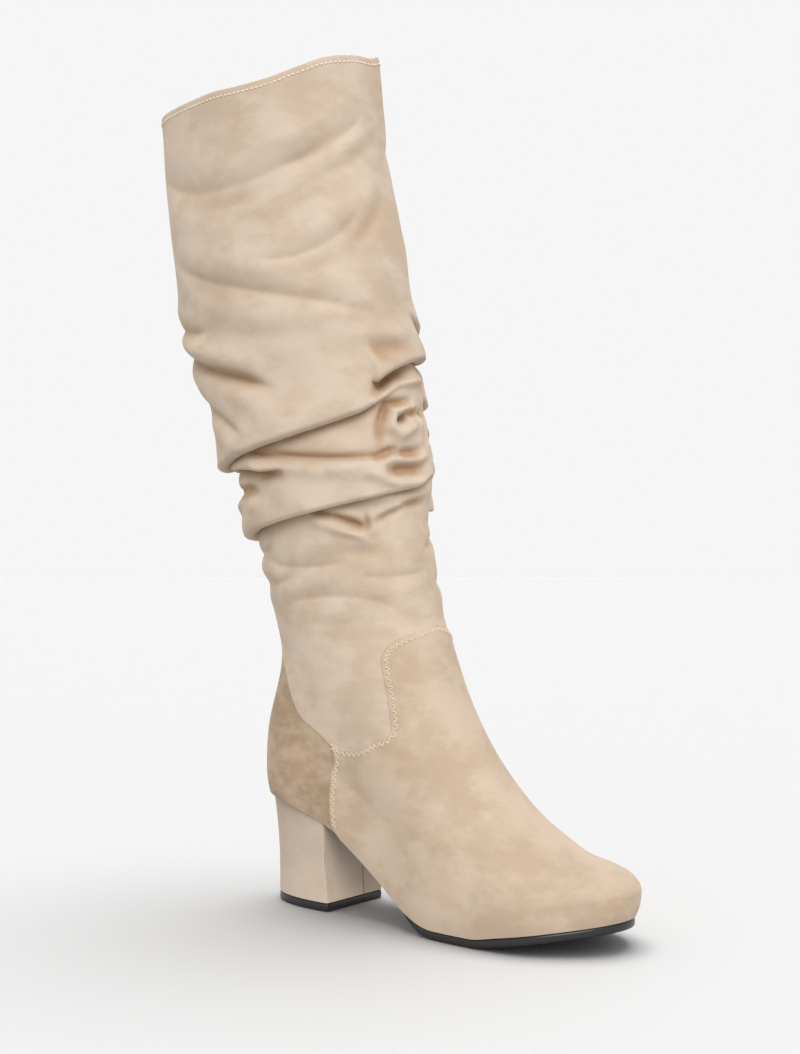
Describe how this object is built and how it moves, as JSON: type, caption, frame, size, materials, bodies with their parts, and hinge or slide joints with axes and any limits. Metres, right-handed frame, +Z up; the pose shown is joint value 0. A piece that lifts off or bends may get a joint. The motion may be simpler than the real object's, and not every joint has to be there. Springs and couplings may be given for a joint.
{
  "type": "slouch boot",
  "caption": "Right-foot slouch boot: suede shaft in soft folds over a block heel, thin dark sole, zip on the inner side.",
  "frame": {"origin": "middle of the heel lift's underside, on the floor", "axes": "+X to the toe, +Y to the inner side of the foot, +Z up"},
  "size_m": [0.2909, 0.1253, 0.4695],
  "materials": {
    "suede": "beige napped suede cloth",
    "insole_fabric": "smooth beige lining",
    "sole_rubber": "near-black, soft sheen",
    "zip_tape": "beige woven tape and coil",
    "zip_metal": "antique brass"
  },
  "bodies": {
    "boot": {"upper": "suede", "insole": "insole_fabric", "outsole": "sole_rubber", "heel": "suede", "heel_lift": "sole_rubber", "zip_chain": "zip_tape", "zip_slider": "zip_metal"},
    "zip_pull": {"zip_pull": "zip_metal"}
  },
  "joints": [
    {"name": "zip_pull_swing", "type": "hinge", "parent": "boot", "child": "zip_pull", "pos_m": [0.00572, 0.04565, 0.27458], "axis": [0.9849, -0.0083, 0.1729], "range_deg": [0, 150]}
  ]
}
